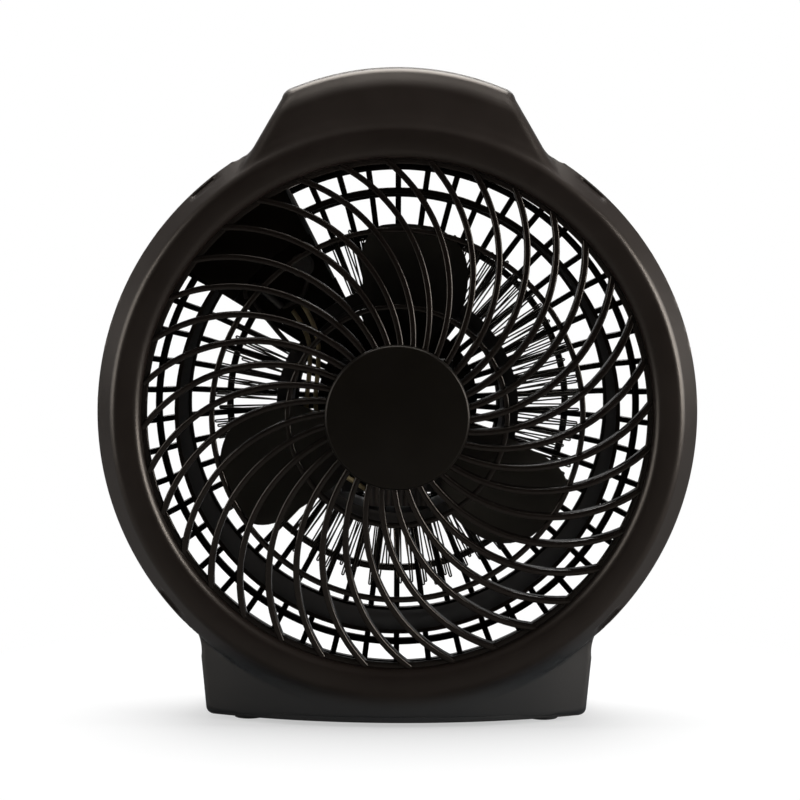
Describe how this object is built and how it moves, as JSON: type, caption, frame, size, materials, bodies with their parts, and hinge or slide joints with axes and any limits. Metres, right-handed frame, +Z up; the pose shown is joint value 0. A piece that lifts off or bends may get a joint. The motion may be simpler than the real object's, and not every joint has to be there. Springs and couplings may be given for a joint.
{
  "type": "fan heater",
  "caption": "Compact round fan heater on a low base: swirling front guard, plain centre cap, hood handle on top, paddle fan in front of a wire element, two knobs at the back.",
  "frame": {"origin": "on the floor, below the middle of the heater's bounding box", "axes": "+X to the right as seen from the front, +Y towards the back, +Z up"},
  "size_m": [0.24, 0.097, 0.2632],
  "materials": {
    "housing_plastic": "fine moulded grain, matte black",
    "cap_plastic": "smooth satin black",
    "inner_plastic": "plain moulded, dark",
    "knob_plastic": "satin black",
    "switch_plastic": "plain moulded, ivory",
    "foot_rubber": "matte",
    "plated_steel": "zinc plated",
    "core_steel": "laminated sheet",
    "coil_enamel": "enamelled wire under dark tape",
    "bush_bronze": "sintered",
    "screw_steel": "zinc plated",
    "mica_board": "pressed mica sheet, dark",
    "heating_alloy": "drawn resistance wire, oxidised",
    "lead_sleeve": "cream silicone sleeve",
    "cutout_metal": "dull pressed cap"
  },
  "bodies": {
    "housing": {"front_housing": "housing_plastic", "rear_housing": "housing_plastic", "base_plate": "housing_plastic", "front_grille": "housing_plastic", "rear_grille": "housing_plastic", "centre_cap": "cap_plastic", "control_box": "inner_plastic", "control_cover": "inner_plastic", "fan_shroud": "inner_plastic", "selector_switch": "switch_plastic", "terminal_block": "switch_plastic", "rubber_feet": "foot_rubber", "cord_gland": "foot_rubber", "thermostat": "plated_steel", "front_bracket": "plated_steel", "rear_bracket": "plated_steel", "motor_core": "core_steel", "motor_coil": "coil_enamel", "motor_bushes": "bush_bronze", "motor_screws": "screw_steel", "housing_screws": "screw_steel", "base_screws": "screw_steel", "element_frame": "mica_board", "heating_wire_low": "heating_alloy", "heating_wire_high": "heating_alloy", "motor_leads": "lead_sleeve", "element_leads": "lead_sleeve", "thermal_cutout": "cutout_metal", "thermal_fuse": "cutout_metal"},
    "fan_rotor": {"fan_blades": "inner_plastic", "fan_nut": "plated_steel", "motor_shaft": "plated_steel", "motor_rotor": "core_steel"},
    "selector": {"selector_knob": "knob_plastic", "selector_spindle": "plated_steel"},
    "thermostat_dial": {"thermostat_knob": "knob_plastic", "thermostat_spindle": "plated_steel"}
  },
  "joints": [
    {"name": "fan_spin", "type": "hinge", "parent": "housing", "child": "fan_rotor", "pos_m": [0, 0, 0.1252], "axis": [0, 1, 0], "continuous": true},
    {"name": "selector_turn", "type": "hinge", "parent": "housing", "child": "selector", "pos_m": [-0.06136, 0.043, 0.19455], "axis": [0, 1, 0], "range_deg": [0, 270]},
    {"name": "thermostat_turn", "type": "hinge", "parent": "housing", "child": "thermostat_dial", "pos_m": [-0.04665, 0.043, 0.17793], "axis": [0, 1, 0], "range_deg": [0, 270]}
  ]
}
